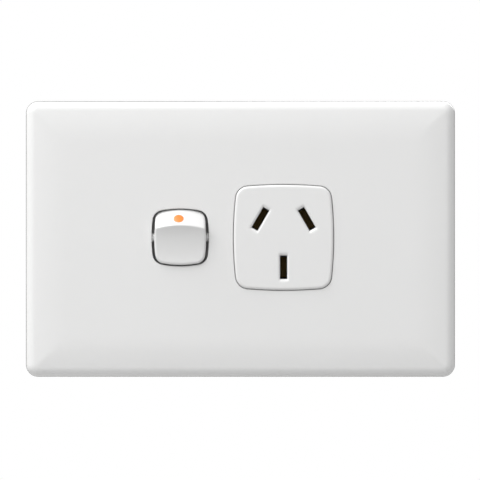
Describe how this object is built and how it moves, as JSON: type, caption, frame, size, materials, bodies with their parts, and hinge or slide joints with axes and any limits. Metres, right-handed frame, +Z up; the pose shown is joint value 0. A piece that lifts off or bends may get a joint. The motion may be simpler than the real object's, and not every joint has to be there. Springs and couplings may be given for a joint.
{
  "type": "single power point",
  "caption": "Switched single socket outlet for a wall: landscape clip-on plate, rocker switch with an orange mark, flat-pin socket face, rear case with terminals.",
  "frame": {"origin": "on the wall plane, at the middle of the plate", "axes": "+X to the right along the plate, +Y into the wall, +Z up; the front faces -Y"},
  "size_m": [0.127, 0.0392, 0.0816],
  "materials": {
    "plate_white": "gloss moulded",
    "grid_white": "gloss moulded",
    "rocker_white": "gloss moulded",
    "dot_orange": "gloss moulded",
    "case_white": "fine moulded texture",
    "plunger_nylon": "plain moulded",
    "brass": "rolled strip",
    "terminal_brass": "sawn and drilled bar",
    "contact_silver": "bright rivet",
    "zinc_steel": "zinc plated",
    "spring_steel": "drawn wire"
  },
  "bodies": {
    "root": {"cover_plate": "plate_white", "base_plate": "grid_white", "arm_saddle": "brass", "active_contact": "brass", "fixed_contact_tip": "contact_silver", "neutral_contact": "brass", "earth_contact": "brass", "active_terminal": "terminal_brass", "loop_terminal": "terminal_brass", "neutral_terminal": "terminal_brass", "earth_terminal": "terminal_brass", "active_terminal_screw": "zinc_steel", "loop_terminal_screw": "zinc_steel", "neutral_terminal_screw": "zinc_steel", "earth_terminal_screw": "zinc_steel", "rear_case": "case_white", "case_screw_1": "zinc_steel", "case_screw_2": "zinc_steel", "case_screw_3": "zinc_steel", "case_screw_4": "zinc_steel", "left_mounting_screw": "zinc_steel", "right_mounting_screw": "zinc_steel"},
    "rocker": {"rocker": "rocker_white", "rocker_dot": "dot_orange", "plunger": "plunger_nylon", "plunger_spring": "spring_steel"},
    "contact_arm": {"contact_arm": "brass", "contact_arm_tip": "contact_silver"}
  },
  "joints": [
    {"name": "rocker_tilt", "type": "hinge", "parent": "root", "child": "rocker", "pos_m": [-0.0178, -0.0083, 0.00045], "axis": [1, 0, 0], "range_deg": [0, 16]},
    {"name": "contact_arm_tilt", "type": "hinge", "parent": "root", "child": "contact_arm", "pos_m": [-0.0178, 0.005, 0.00045], "axis": [-1, 0, 0], "range_deg": [0, 18]}
  ],
  "couplings": [
    {"joint": "contact_arm_tilt", "follows": "rocker_tilt", "ratio": 1.125}
  ]
}
